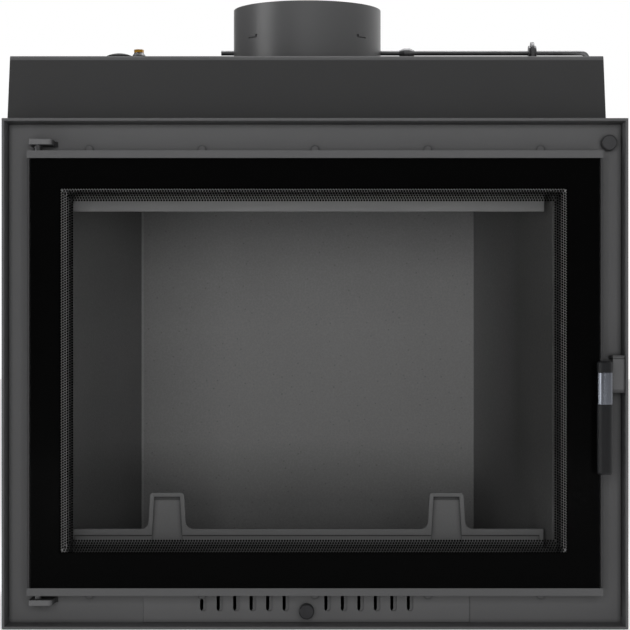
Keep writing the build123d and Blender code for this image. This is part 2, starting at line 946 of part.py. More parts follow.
def make_blanking_cap():
    # A pressed cap with a shallow dome.
    top = casing_height + cap_rise
    dome_radius = (cap_radius ** 2 + cap_dome ** 2) / (2 * cap_dome)
    dome = Pos(cap_x, front_y + port_depth, top - dome_radius) * Sphere(dome_radius)
    return rod_along_z(cap_x, port_depth, cap_radius, casing_height, top) & dome


def make_port_boss():
    # A welded boss with a sloping shoulder, tapped for the plug.
    shoulder_z = casing_height + boss_rise - boss_shoulder
    middle = (Align.CENTER, Align.CENTER, Align.MIN)
    shoulder = Cone(boss_foot_radius, boss_top_radius, boss_shoulder, align=middle)
    boss = rod_along_z(boss_x, port_depth, boss_foot_radius, casing_height, shoulder_z)
    boss += Pos(boss_x, front_y + port_depth, shoulder_z) * shoulder
    low = casing_height + boss_rise - plug_thread_length
    return boss - rod_along_z(boss_x, port_depth, plug_thread_radius, low, casing_height + boss_rise + 1)


def make_port_plug():
    seat = casing_height + boss_rise
    head = extrude(RegularPolygon(plug_across / 2, 6, major_radius=False), amount=plug_rise)
    head = Pos(boss_x, front_y + port_depth, seat) * Rot(0, 0, 15) * head
    return head + rod_along_z(boss_x, port_depth, plug_thread_radius, seat - plug_thread_length, seat)


# ================================================================ damper pull
def make_pull_knob():
    back = pull_knob_front + pull_knob_length
    knob = rod_along_y(pull_x, pull_z, pull_knob_radius, pull_knob_front, back)
    knob = chamfer(round_edges(knob, Axis.Y)[0], knob_chamfer)
    seat = pull_knob_front + pull_rod_inset
    return knob - rod_along_y(pull_x, pull_z, pull_rod_radius, seat, back + 1)


def make_pull_rod():
    return rod_along_y(pull_x, pull_z, pull_rod_radius, pull_knob_front + pull_rod_inset, pull_rod_end)


crank_pin_depth = flue_depth + crank_arm * tan(radians(blade_turn / 2))
crank_pin_z = spindle_z - crank_arm
link_left_x = body_right_x + link_gap
link_right_x = link_left_x + link_sheet


def make_pull_link():
    # A flat bar outside the casing, with an arm up to a slotted tab that takes the crank.
    arm_front = crank_pin_depth + link_slot / 2 + spindle_radius + running_gap
    arm_back = arm_front + link_arm_width
    low = pull_z - link_height / 2
    high = pull_z + link_height / 2
    top = crank_pin_z + link_sheet / 2
    bar = side_plate(
        [
            (pull_rod_end, low), (arm_back - link_sheet, low), (arm_back, low + link_sheet),
            (arm_back, top), (arm_front, top), (arm_front, high + link_height),
            (arm_front - link_height, high), (pull_rod_end, high),
        ],
        link_left_x, link_right_x
    )
    tab = block(
        link_left_x, crank_x + link_tab_reach, crank_pin_depth - link_tab_reach, arm_back,
        top - link_sheet, top
    )
    outline = SlotOverall(link_slot, 2 * (spindle_radius + strap_gap), rotation=90)
    slot = extrude(Plane.XY.offset(top - 2 * link_sheet) * Pos(crank_x, front_y + crank_pin_depth) * outline,
                   amount=3 * link_sheet)
    return bar + tab - slot


def make_link_straps():
    # Two folded straps on the casing's side keep the link bar straight.
    low = pull_z - link_height / 2 - strap_gap
    high = pull_z + link_height / 2 + strap_gap
    outside = link_right_x + strap_gap
    straps = []
    for depth in strap_depths:
        back = depth + strap_width
        cover = block(outside, outside + strap_sheet, depth, back, low - strap_sheet, high + strap_sheet)
        for inner, outer in ((low, low - strap_sheet), (high, high + strap_sheet)):
            foot_end = outer + (strap_foot if outer > inner else -strap_foot)
            cover += block(body_right_x, outside, depth, back, min(inner, outer), max(inner, outer))
            cover += block(
                body_right_x, body_right_x + strap_sheet, depth, back,
                min(inner, foot_end), max(inner, foot_end)
            )
        straps.append(cover)
    return joined(straps)


# ================================================================ door
skirt_rect = (-door_half, door_half, skirt_low_z, skirt_high_z)


def boss_block():
    return block(boss_left_x, boss_right_x, boss_front_depth, boss_back_depth, boss_low_z, boss_high_z)


def make_door_frame():
    # A pressed tray with a window tunnel, a rope channel and thin side edges for the glass.
    tray = plate(skirt_rect, plate_front, door_back_depth)
    tray -= plate(grown(skirt_rect, -door_skirt), plate_back, door_back_depth + 1)
    tunnel_rect = grown(window_rect, door_plate)
    tray += border(tunnel_rect, window_rect, plate_front, door_back_depth)
    tray -= plate(window_rect, plate_front - 1, door_back_depth + 1)
    channel_rect = grown(tunnel_rect, rope_channel)
    floor_depth = door_back_depth - rope_channel_depth
    tray += border(channel_rect, tunnel_rect, floor_depth - door_skirt, floor_depth)
    tray += border(
        grown(channel_rect, door_skirt), channel_rect, floor_depth - door_skirt, door_back_depth
    )
    for side in (-1, 1):
        outer = side * door_half
        inner = outer - side * door_skirt
        tray += block(
            min(outer, inner), max(outer, inner), rail_sheet, plate_front, skirt_low_z, skirt_high_z
        )
    tray -= block(
        boss_left_x, boss_right_x, boss_front_depth, door_back_depth + 1, boss_low_z, boss_high_z
    )
    # Room in the right-hand edge for the latch tongue to swing back into.
    tray -= block(
        door_half - 2 * door_skirt, door_half + 1, tongue_front_depth - tongue_room, boss_front_depth,
        shaft_z - tongue_reach - 2 * tongue_tip_radius, boss_high_z
    )
    # Holes for the rail screws and the hinge pins, in the top and bottom edges only.
    for low, high in ((door_low_z, sleeve_low_z + 1), (sleeve_high_z - 1, door_high_z)):
        for x in screw_places(rail_screw_pitch, screw_count_per_rail):
            tray -= rod_along_z(x, rail_screw_depth, small_screw_radius, low, high)
        tray -= rod_along_z(hinge_x, hinge_depth, hinge_pin_radius, low, high)
    return tray


def make_glass_pane():
    low = skirt_low_z + glass_edge_gap
    high = skirt_high_z - glass_edge_gap
    return plate((-glass_half, glass_half, low, high), glass_front, glass_back)


def make_glass_gasket():
    outer = (-glass_half, glass_half, skirt_low_z + 1, skirt_high_z - 1)
    return border(outer, grown(outer, -gasket_width), glass_back, plate_front)


def make_glass_rail(edge, inward):
    # An angle that covers the edge of the glass and wraps over the door frame.
    face = sorted((edge, edge + inward * rail_face))
    web = sorted((edge, edge + inward * rail_sheet))
    rail = block(-door_half, door_half, 0, rail_sheet, *face)
    rail += block(-door_half, door_half, 0, rail_web, *web)
    rail -= rod_along_z(hinge_x, hinge_depth, hinge_pin_radius, web[0] - 1, web[1] + 1)
    for x in screw_places(rail_screw_pitch, screw_count_per_rail):
        rail -= rail_screw(x, edge, inward)
    return rail


def rail_screw(x, edge, inward):
    # A countersunk screw through the rail's web into the door frame.
    base = (Align.CENTER, Align.CENTER, Align.MIN)
    head = Cone(rail_screw_head, small_screw_radius, rail_sheet, align=base)
    screw = head + Cylinder(small_screw_radius, rail_sheet + door_skirt, align=base)
    turn = 180 if inward < 0 else 0
    return Pos(x, front_y + rail_screw_depth, edge) * Rot(turn, 0, 0) * screw


def make_rail_screws():
    edges = ((door_high_z, -1), (door_low_z, 1))
    places = screw_places(rail_screw_pitch, screw_count_per_rail)
    return joined([rail_screw(x, edge, inward) for edge, inward in edges for x in places])


def make_door_rope():
    # Round glass-fibre rope laid in the channel, just short of the panel face.
    half = window_half_width + door_plate + rope_channel / 2
    low = window_low_z - door_plate - rope_channel / 2
    high = window_high_z + door_plate + rope_channel / 2
    depth = panel_depth - seal_gap - rope_radius
    loop = RectangleRounded(2 * half, high - low, rope_corner)
    path = Pos(0, front_y + depth, (low + high) / 2) * Rot(90, 0, 0) * loop.wire()
    section = Plane(origin=path @ 0, z_dir=path % 0) * Circle(rope_radius)
    return sweep(section, path=path)


def make_hinge_bracket(z_low):
    # A thick tongue welded to the panel, with a weld flare down its right-hand side.
    z_high = z_low + hinge_thickness
    tongue = block(hinge_left_x, hinge_right_x, hinge_front_depth, panel_depth, z_low, z_high)
    left_edge, right_edge = tongue.edges().filter_by(Axis.Z).group_by(Axis.Y)[0].sort_by(Axis.X)
    tongue = fillet(left_edge, hinge_corner)
    right_edge = tongue.edges().filter_by(Axis.Z).group_by(Axis.Y)[0].sort_by(Axis.X)[-1]
    tongue = fillet(right_edge, hinge_round)
    flare = floor_plate(
        [
            (hinge_right_x, panel_depth - hinge_weld), (hinge_right_x + hinge_weld, panel_depth),
            (hinge_right_x, panel_depth),
        ],
        z_low, z_high
    )
    bore = hinge_spigot_radius + running_gap
    return tongue + flare - rod_along_z(hinge_x, hinge_depth, bore, z_low - 1, z_high + 1)


def make_hinge_pins():
    # Turned pins: the thick part sits in the door, the spigot turns in the bracket.
    top_shoulder = top_hinge_z - hinge_gap
    bottom_shoulder = bottom_hinge_z + hinge_thickness + hinge_gap
    upper = rod_along_z(
        hinge_x, hinge_depth, hinge_pin_radius, sleeve_high_z - hinge_sleeve_length, top_shoulder
    )
    upper += rod_along_z(
        hinge_x, hinge_depth, hinge_spigot_radius, top_shoulder, top_hinge_z + hinge_thickness
    )
    lower = rod_along_z(
        hinge_x, hinge_depth, hinge_pin_radius, bottom_shoulder, sleeve_low_z + hinge_sleeve_length
    )
    lower += rod_along_z(hinge_x, hinge_depth, hinge_spigot_radius, bottom_hinge_z, bottom_shoulder)
    return joined([upper, lower])


def make_hinge_sleeves():
    # Tubes welded inside the door's edge that hold the pins.
    upper = rod_along_z(
        hinge_x, hinge_depth, hinge_sleeve_radius, sleeve_high_z - hinge_sleeve_length, sleeve_high_z
    )
    lower = rod_along_z(
        hinge_x, hinge_depth, hinge_sleeve_radius, sleeve_low_z, sleeve_low_z + hinge_sleeve_length
    )
    bore = rod_along_z(hinge_x, hinge_depth, hinge_pin_radius, 0, frame_height)
    return joined([upper - bore, lower - bore])


# ================================================================ latch and handle
def make_latch_boss():
    boss = boss_block()
    corners = boss.edges().filter_by(Axis.Y).sort_by(Axis.X)[-2:]
    boss = fillet(corners, boss_corner)
    return boss - rod_along_y(
        shaft_x, shaft_z, shaft_radius + running_gap, boss_front_depth - 1, boss_back_depth + 1
    )


def make_latch_keeper():
    # A bevelled hood fixed to the panel beside the frame; its left side is the mouth.
    right = frame_width / 2 - frame_sheet
    hood = block(keeper_left_x, right, keeper_front_depth, panel_depth, keeper_low_z, keeper_high_z)
    front_edges = [
        edge for edge in hood.edges().filter_by(Plane.XZ).group_by(Axis.Y)[0]
        if edge.center().X > keeper_left_x + 0.1
    ]
    hood = chamfer(front_edges, keeper_bevel)
    hood -= block(
        keeper_left_x - 1, right - keeper_wall, keeper_front_depth + keeper_wall, panel_depth + 1,
        keeper_low_z + keeper_wall, keeper_high_z - keeper_wall
    )
    return hood


def make_handle_shaft():
    back = boss_back_depth + nut_gap + nut_thickness + shaft_end
    return rod_along_y(shaft_x, shaft_z, shaft_radius, shaft_front_depth, back)


def make_latch_tongue():
    angle = radians(tongue_angle)
    tip_x = shaft_x + tongue_reach * sin(angle)
    tip_z = shaft_z - tongue_reach * cos(angle)
    outline = make_hull(
        (
            (Pos(shaft_x, shaft_z) * Circle(tongue_hub_radius)).edges()
            + (Pos(tip_x, tip_z) * Circle(tongue_tip_radius)).edges()
        )
    )
    tongue = front_outline(outline, tongue_front_depth, tongue_front_depth + tongue_thickness)
    return tongue - rod_along_y(
        shaft_x, shaft_z, shaft_radius, tongue_front_depth - 1, tongue_front_depth + tongue_thickness + 1
    )


def make_shaft_nut():
    front = boss_back_depth + nut_gap
    outline = Pos(shaft_x, shaft_z) * RegularPolygon(nut_across / 2, 6, major_radius=False)
    nut = front_outline(outline, front, front + nut_thickness)
    return nut - rod_along_y(shaft_x, shaft_z, shaft_radius, front - 1, front + nut_thickness + 1)


def handle_lug():
    # The flat lug that carries the grip off the shaft.
    return block(
        grip_x - lug_side, shaft_x + shaft_radius, grip_depth, shaft_front_depth,
        shaft_z - lug_height / 2, shaft_z + lug_height / 2
    )


def core_bar():
    return rod_along_z(grip_x, grip_depth, core_radius, core_low_z, core_high_z)


def make_handle_core():
    return core_bar() + handle_lug()


def grip_blank(z_low, z_high):
    return rod_along_z(grip_x, grip_depth, grip_radius, z_low, z_high)


def make_grip_cap():
    cap = grip_blank(ring_high_z, grip_top_z)
    cap = fillet(round_edges(cap, Axis.Z)[-1], grip_round)
    return cap - core_bar() - handle_lug()


def make_grip_ring():
    ring = chamfer(round_edges(grip_blank(ring_low_z, ring_high_z), Axis.Z), ring_chamfer)
    return ring - core_bar()


def make_handle_grip():
    grip = grip_blank(grip_low_z, ring_low_z)
    grip = fillet(round_edges(grip, Axis.Z)[0], grip_round)
    return grip - core_bar()


# ================================================================ the whole insert
parts = {
    "front_frame": make_front_frame(),
    "flange_panel": make_flange_panel(),
    "panel_screws": make_panel_screws(),
    "air_cover_plate": make_air_cover_plate(),
    "slider_guides": make_slider_guides(),
    "air_slider": make_air_slider(),
    "air_knob": make_air_knob(),
    "base_tray": make_base_tray(),
    "support_rails": make_support_rails(),
    "casing_left": make_casing_left(),
    "casing_right": make_casing_right(),
    "casing_back": make_casing_back(),
    "casing_top": make_casing_top(),
    "hood_front": make_hood_front(),
    "door_seat": make_door_seat(),
    "shell_floor": make_shell_floor(),
    "shell_roof": make_shell_roof(),
    "shell_wrap": make_shell_wrap(),
    "hearth_slab": make_hearth_slab(),
    "lining_left": make_side_lining(-1),
    "lining_right": make_side_lining(1),
    "lining_back": make_back_lining(),
    "baffle_plate": make_baffle_plate(),
    "air_wash_bar": make_air_wash_bar(),
    "log_fence": make_log_fence(),
    "flue_collar": make_flue_collar(),
    "damper_spindle": make_damper_spindle(),
    "damper_blade": make_damper_blade(),
    "blade_screws": make_blade_screws(),
    "spindle_stop_collar": make_spindle_stop_collar(),
    "spindle_bracket": make_spindle_bracket(),
    "spindle_washers": make_spindle_washers(),
    "bracket_screws": make_bracket_screws(),
    "blanking_cap": make_blanking_cap(),
    "port_boss": make_port_boss(),
    "port_plug": make_port_plug(),
    "pull_knob": make_pull_knob(),
    "pull_rod": make_pull_rod(),
    "pull_link": make_pull_link(),
    "link_straps": make_link_straps(),
    "door_frame": make_door_frame(),
    "glass_pane": make_glass_pane(),
    "glass_gasket": make_glass_gasket(),
    "glass_rail_top": make_glass_rail(door_high_z, -1),
    "glass_rail_bottom": make_glass_rail(door_low_z, 1),
    "rail_screws": make_rail_screws(),
    "door_rope": make_door_rope(),
    "hinge_bracket_top": make_hinge_bracket(top_hinge_z),
    "hinge_bracket_bottom": make_hinge_bracket(bottom_hinge_z),
    "hinge_pins": make_hinge_pins(),
    "hinge_sleeves": make_hinge_sleeves(),
    "latch_boss": make_latch_boss(),
    "latch_keeper": make_latch_keeper(),
    "handle_shaft": make_handle_shaft(),
    "latch_tongue": make_latch_tongue(),
    "handle_core": make_handle_core(),
    "grip_cap": make_grip_cap(),
    "grip_ring": make_grip_ring(),
    "handle_grip": make_handle_grip(),
    "shaft_nut": make_shaft_nut(),
}

os.makedirs("parts", exist_ok=True)
for name, shape in parts.items():
    export_step(shape, f"parts/{name}.step")
print(len(parts), "pieces written")
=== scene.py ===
import bpy
import json
from math import ceil, cos, hypot, pi, radians, sin, tau
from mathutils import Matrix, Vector


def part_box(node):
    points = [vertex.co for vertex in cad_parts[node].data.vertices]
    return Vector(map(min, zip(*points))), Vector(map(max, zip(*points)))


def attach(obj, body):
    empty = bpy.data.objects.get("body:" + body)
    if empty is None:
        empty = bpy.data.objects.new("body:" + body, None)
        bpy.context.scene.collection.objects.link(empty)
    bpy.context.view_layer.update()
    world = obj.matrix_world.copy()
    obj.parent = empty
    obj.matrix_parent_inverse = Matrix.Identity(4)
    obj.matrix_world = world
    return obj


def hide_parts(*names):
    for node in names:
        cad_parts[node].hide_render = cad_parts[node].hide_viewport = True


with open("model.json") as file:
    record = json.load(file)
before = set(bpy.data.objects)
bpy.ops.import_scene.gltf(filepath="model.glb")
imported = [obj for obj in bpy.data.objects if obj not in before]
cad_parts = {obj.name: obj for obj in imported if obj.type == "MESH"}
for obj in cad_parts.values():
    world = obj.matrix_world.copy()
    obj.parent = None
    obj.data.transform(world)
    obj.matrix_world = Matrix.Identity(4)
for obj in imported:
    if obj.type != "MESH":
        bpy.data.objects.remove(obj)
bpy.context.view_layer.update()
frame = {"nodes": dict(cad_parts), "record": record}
nodes = frame["nodes"]
finishes = {}
print("frame loaded:", len(nodes), "nodes")


class Wire:
    # an output socket that can be used in Python sums
    def __init__(self, maker, socket):
        self.maker = maker
        self.socket = socket

    def maths(self, operation, first, second):
        return self.maker.maths(operation, first, second)

    def __add__(self, other):
        return self.maths("ADD", self, other)

    def __radd__(self, other):
        return self.maths("ADD", other, self)

    def __sub__(self, other):
        return self.maths("SUBTRACT", self, other)

    def __rsub__(self, other):
        return self.maths("SUBTRACT", other, self)

    def __mul__(self, other):
        return self.maths("MULTIPLY", self, other)

    def __rmul__(self, other):
        return self.maths("MULTIPLY", other, self)

    def __pow__(self, other):
        return self.maths("POWER", self, other)

    def __rpow__(self, other):
        return self.maths("POWER", other, self)

    def __gt__(self, other):
        return self.maths("GREATER_THAN", self, other)

    def __lt__(self, other):
        return self.maths("LESS_THAN", self, other)


class NodeMaker:
    def __init__(self, tree, coordinates):
        self.tree = tree
        self.tree.nodes.clear()
        self.place = self.add("ShaderNodeTexCoord", {}, {}, coordinates)

    def add(self, kind, settings, sockets, output=0):
        node = self.tree.nodes.new(kind)
        for name, value in settings.items():
            setattr(node, name, value)
        for key, value in sockets.items():
            if isinstance(value, Wire):
                self.tree.links.new(value.socket, node.inputs[key])
            else:
                node.inputs[key].default_value = value
        return Wire(self, node.outputs[output]) if len(node.outputs) else node

    def maths(self, operation, first, second):
        return self.add("ShaderNodeMath", {"operation": operation}, {0: first, 1: second})

    def axis(self, index):
        # 0 runs across, 1 into the depth, 2 upwards
        return self.add("ShaderNodeSeparateXYZ", {}, {0: self.place}, index)

    def mapped(self, amount, start, end, low, high, kind="LINEAR"):
        # low where the amount is at its start, high where it is at its end
        sockets = {0: amount, 1: start, 2: end, 3: low, 4: high}
        return self.add("ShaderNodeMapRange", {"interpolation_type": kind}, sockets)


creviceLook = {"samples": 8, "sharpness": 1.5}


class Finish(NodeMaker):
    def __init__(self, name):
        self.material = bpy.data.materials.new(name)
        self.material.use_nodes = True
        super().__init__(self.material.node_tree, "Object")  # metres, the same for every piece

    def noise(self, scale, detail, rough, place=None):
        sockets = {"Vector": place or self.place, "Scale": scale, "Detail": detail, "Roughness": rough}
        return self.add("ShaderNodeTexNoise", {}, sockets)

    def clouds(self, scale):
        # soft patches, as where strokes of a spray gun overlap
        return self.noise(scale, 4, 0.55)

    def grain(self, scale):
        # the fine dry grain of a matt surface
        return self.noise(scale, 3, 0.7)

    def cells(self, scale):
        sockets = {"Vector": self.place, "Scale": scale}
        return self.add("ShaderNodeTexVoronoi", {"feature": "F1"}, sockets, "Distance")

    def crevice(self, distance):
        # 1 in the open, less where a corner is hemmed in; multiplied into a colour it paints shade into
        # corners
        settings = {"samples": creviceLook["samples"]}
        reach = self.add("ShaderNodeAmbientOcclusion", settings, {"Distance": distance}, "AO")
        return reach ** creviceLook["sharpness"]

    def stretched(self, factors):
        sockets = {0: self.place, 1: factors}
        return self.add("ShaderNodeVectorMath", {"operation": "MULTIPLY"}, sockets)

    def shade(self, tone, amount):
        # a colour made lighter or darker by a wire
        return self.add("ShaderNodeVectorMath", {"operation": "SCALE"}, {0: tone, "Scale": amount})

    def blend(self, amount, first, second):
        colours = {0: amount, 6: self.opaque(first), 7: self.opaque(second)}
        return self.add("ShaderNodeMix", {"data_type": "RGBA"}, colours, 2)

    def opaque(self, tone):
        return tone if isinstance(tone, Wire) else (*tone, 1)

    def bump(self, height, strength, distance):
        sockets = {"Strength": strength, "Distance": distance, "Height": height}
        return self.add("ShaderNodeBump", {}, sockets)

    def coat(self, sockets):
        surface = self.add("ShaderNodeBsdfPrincipled", {}, sockets)
        self.add("ShaderNodeOutputMaterial", {}, {"Surface": surface})
        return self.material


# these hold for every stove paint: how its grain and clouds show, and how much painted shade its corners
# take
sprayLook = {
    "grainTone": 0.10, "cloudRough": 0.16, "grainRough": 0.10, "grainRelief": 0.7,
    "speckRelief": 0.3, "speckScale": 0.6, "corner": 0.35, "depth": 0.0004}


def stovePaint(name, look, extraTone=None):
    # heatproof paint: fine grain, faint clouds and painted shade in its corners; a piece may add its own
    # painted light, painted shade or a darker line
    paint = Finish(name)
    clouds = paint.clouds(look["cloudScale"])
    grain = paint.grain(look["grainScale"])
    specks = paint.cells(look["grainScale"] * sprayLook["speckScale"])
    amount = 1 - look["cloudShare"] * (clouds - 0.5) + sprayLook["grainTone"] * (grain - 0.5)
    rough = look["rough"] + sprayLook["cloudRough"] * (clouds - 0.5)
    rough = rough + sprayLook["grainRough"] * (grain - 0.5)
    relief = grain * sprayLook["grainRelief"] + specks * sprayLook["speckRelief"]
    # painted shade: the colour darkens where corners are hemmed in
    corners = sprayLook["corner"] + (1 - sprayLook["corner"]) * paint.crevice(look["crevice"])
    if extraTone:
        corners = extraTone(paint, corners)
    return paint.coat({
        "Base Color": paint.shade(paint.shade(look["tone"], amount), corners),
        "Roughness": rough,
        "Specular IOR Level": look["gloss"],
        "Normal": paint.bump(relief, look["relief"], sprayLook["depth"]),
    })


frontSpray = {
    "rough": 0.62, "gloss": 0.35, "cloudScale": 9, "cloudShare": 0.10, "grainScale": 1400, "relief": 0.20}
casingSpray = {
    "cloudScale": 7, "cloudShare": 0.14, "grainScale": 1200, "relief": 0.18, "crevice": 0.012}
paints = {
    # the panel, slider and cover take the frame's paint made lighter: painted light on the recess behind
    # the lip
    "litPanelPaint": {**frontSpray, "tone": (0.114, 0.114, 0.116), "crevice": 0.005},
    "litSliderPaint": {**frontSpray, "tone": (0.120, 0.120, 0.122), "crevice": 0.001},
    "casingTopPaint": {**casingSpray, "tone": (0.022, 0.022, 0.022), "rough": 0.85, "gloss": 0.0},
    "casingPaint": {**casingSpray, "tone": (0.036, 0.036, 0.037), "rough": 0.60, "gloss": 0.10},
    "fireboxPaint": {
        "tone": (0.040, 0.040, 0.041), "rough": 0.66, "gloss": 0.30,
        "cloudScale": 6, "cloudShare": 0.30, "grainScale": 900, "relief": 0.26, "crevice": 0.012},
    "collarPaint": {
        "tone": (0.078, 0.078, 0.080), "rough": 0.36, "gloss": 0.55,
        "cloudScale": 12, "cloudShare": 0.14, "grainScale": 1300, "relief": 0.10, "crevice": 0.012},
    "airBarPaint": {
        "tone": (0.138, 0.138, 0.138), "rough": 0.50, "gloss": 0.35,
        "cloudScale": 9, "cloudShare": 0.16, "grainScale": 900, "relief": 0.22, "crevice": 0.012},
    "doorPaint": {
        "tone": (0.080, 0.080, 0.082), "rough": 0.52, "gloss": 0.35,
        "cloudScale": 11, "cloudShare": 0.08, "grainScale": 1500, "relief": 0.16, "crevice": 0.012},
}
finishes.update({name: stovePaint(name, look) for name, look in paints.items()})


lipLook = {
    **frontSpray, "tone": (0.079, 0.079, 0.081), "crevice": 0.0012,
    # painted light on the lip's inner faces, painted shade towards the sheet and under the top lip
    "inside": 1.35, "edge": (0.0006, 0.003),  # lighter behind the front edge, from and to this depth
    "seam": (0.022, 0.002), "seamShade": 0.72,  # darker from and to these distances before the sheet
    "foot": 0.010,  # no seam below this height
    "underside": (0.5674, 0.5694), "undersideFrom": 0.001, "undersideShade": 0.45}


def lipLightAndShade(paint, corners):
    # painted light on the lip's inner faces behind its front edge, painted shade deepening towards the
    # sheet, and painted shade on the top lip's underside
    look = lipLook
    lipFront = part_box("front_frame")[0].y
    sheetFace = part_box("flange_panel")[0].y
    depth, height = paint.axis(1), paint.axis(2)
    edgeStart, edgeEnd = look["edge"]
    seamStart, seamEnd = look["seam"]
    low, high = look["underside"]
    inside = paint.mapped(depth, lipFront + edgeStart, lipFront + edgeEnd, 1.0, look["inside"])
    seam = paint.mapped(depth, sheetFace - seamStart, sheetFace - seamEnd, 0.0, look["seamShade"])
    underside = (height > low) * (height < high) * (depth > lipFront + look["undersideFrom"])
    paintedShade = 1 - seam * (height > look["foot"])
    return corners * inside * paintedShade * (1 - look["undersideShade"] * underside)


# the cover's paint is lighter still, painted light like the panel's
coverLook = {
    **frontSpray, "tone": (0.124, 0.124, 0.126), "crevice": 0.005, "joint": 0.0010, "jointShade": 0.35}


def coverEndLine(paint, corners):
    # a darker upright line along the cover's right end
    joint = paint.axis(0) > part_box("air_cover_plate")[1].x - coverLook["joint"]
    return corners * (1 - coverLook["jointShade"] * joint)


finishes["framePaint"] = stovePaint("framePaint", lipLook, lipLightAndShade)
finishes["litCoverPaint"] = stovePaint("litCoverPaint", coverLook, coverEndLine)


plateLook = {
    # the edge tone is painted shade on the plate's side faces
    "window": (0.21, 0.21, 0.212), "edge": (0.032, 0.032, 0.033), "halfWidth": 0.296,
    "least": 0.92, "cloudTone": 0.08, "rough": 0.55, "cloudRough": 0.1, "gloss": 0.35,
    "cloudScale": 11, "grainScale": 1500, "relief": 0.16}


def makeDoorPlatePaint(look):
    # the pressed plate was sprayed before the glass went on, so it is lighter under the glass; darker
    # beyond that, a painted shade on its edge faces
    paint = Finish("doorPlatePaint")
    under = paint.maths("ABSOLUTE", paint.axis(0), 0.0) < look["halfWidth"]
    clouds = paint.clouds(look["cloudScale"])
    grain = paint.grain(look["grainScale"])
    tone = paint.blend(under, look["edge"], look["window"])
    amount = look["least"] + look["cloudTone"] * clouds + sprayLook["grainTone"] * (grain - 0.5)
    return paint.coat({
        "Base Color": paint.shade(tone, amount),
        "Roughness": look["rough"] + look["cloudRough"] * (clouds - 0.5),
        "Specular IOR Level": look["gloss"],
        "Normal": paint.bump(grain, look["relief"], sprayLook["depth"]),
    })


hoodLook = {
    # the roll's tone is a painted highlight
    "tone": (0.044, 0.044, 0.0445), "rollHighlight": (0.097, 0.097, 0.099),
    "rollDepth": 0.0052, "rollFade": 0.0006,
    "middle": 0.97, "cloudTone": 0.12, "rough": 0.62, "cloudRough": 0.1, "gloss": 0.06,
    "cloudScale": 7, "grainScale": 1200, "relief": 0.18}


def makeHoodPaint(look):
    # the rolled top edge is painted lighter than the sheet: a painted highlight along the roll
    paint = Finish("hoodPaint")
    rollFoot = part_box("hood_front")[1].z - look["rollDepth"]
    rollStart, rollEnd = rollFoot - look["rollFade"], rollFoot + look["rollFade"]
    onRoll = paint.mapped(paint.axis(2), rollStart, rollEnd, 0.0, 1.0, "SMOOTHSTEP")
    clouds = paint.clouds(look["cloudScale"])
    grain = paint.grain(look["grainScale"])
    tone = paint.blend(onRoll, look["tone"], look["rollHighlight"])
    amount = look["middle"] + look["cloudTone"] * (clouds - 0.5)
    amount = amount + sprayLook["grainTone"] * (grain - 0.5)
    return paint.coat({
        "Base Color": paint.shade(tone, amount),
        "Roughness": look["rough"] + look["cloudRough"] * (clouds - 0.5),
        "Specular IOR Level": look["gloss"],
        "Normal": paint.bump(grain, look["relief"], sprayLook["depth"]),
    })


keeperLook = {
    "tone": (0.088, 0.088, 0.090), "middle": 0.95, "rough": 0.60, "gloss": 0.35, "relief": 0.18,
    "grainScale": 1400, "grainTone": 0.12, "grainRough": 0.1,
    "runScale": 40, "runTone": 0.08, "runRelief": 2,
    # seam and foot: painted shade
    "seam": (0.3018, 0.3033), "seamShade": 0.6, "foot": 0.2680, "footShade": 0.35}  # heights in metres


def makeKeeperPaint(look):
    # thicker paint on a folded cover, with painted shade in a line under its top bevel and painted shade
    # on its foot
    paint = Finish("keeperPaint")
    height = paint.axis(2)
    low, high = look["seam"]
    seam = (height > low) * (height < high)
    foot = height < look["foot"]
    grain = paint.grain(look["grainScale"])
    runs = paint.noise(look["runScale"], 3, 0.5)
    skin = look["middle"] + look["grainTone"] * (grain - 0.5) + look["runTone"] * runs
    paintedShade = 1 - look["seamShade"] * seam - look["footShade"] * foot
    return paint.coat({
        "Base Color": paint.shade(look["tone"], skin * paintedShade),
        "Roughness": look["rough"] + look["grainRough"] * (grain - 0.5),
        "Specular IOR Level": look["gloss"],
        "Normal": paint.bump(grain + look["runRelief"] * runs, look["relief"], sprayLook["depth"]),
    })


finishes["doorPlatePaint"] = makeDoorPlatePaint(plateLook)
finishes["hoodPaint"] = makeHoodPaint(hoodLook)
finishes["keeperPaint"] = makeKeeperPaint(keeperLook)
print("paints made:", len(finishes))


boardLook = {
    # the side boards' tones are painted shade, the right one darker; the dark tone takes painted shade
    # and dust
    "tone": (0.178, 0.178, 0.177), "left": (0.137, 0.137, 0.135), "right": (0.053, 0.053, 0.052),
    "leftFade": (-0.225, -0.265), "rightFade": (0.205, 0.245),  # where a side board's tone takes over
    "sootAndShade": (0.085, 0.085, 0.085), "lowShade": 0.78, "lowFade": (0.12, 0.20),
    "highShade": 0.45, "highFade": (0.34, 0.50), "cornerShade": 0.5, "cornerFade": 0.11,
    "dustScale": 5, "dustShare": 0.35, "dustMiddle": 0.45, "least": 0.93,
    "flakeScale": 420, "flakeTone": 0.16, "flakeRough": 0.10,
    "pitScale": 96.6, "pitSize": 0.10, "pitShade": 0.22,
    "cornerStrip": 0.0028, "cornerStripTone": 0.22, "rough": 0.86, "gloss": 0.25, "relief": 0.35, "depth": 0.0005}


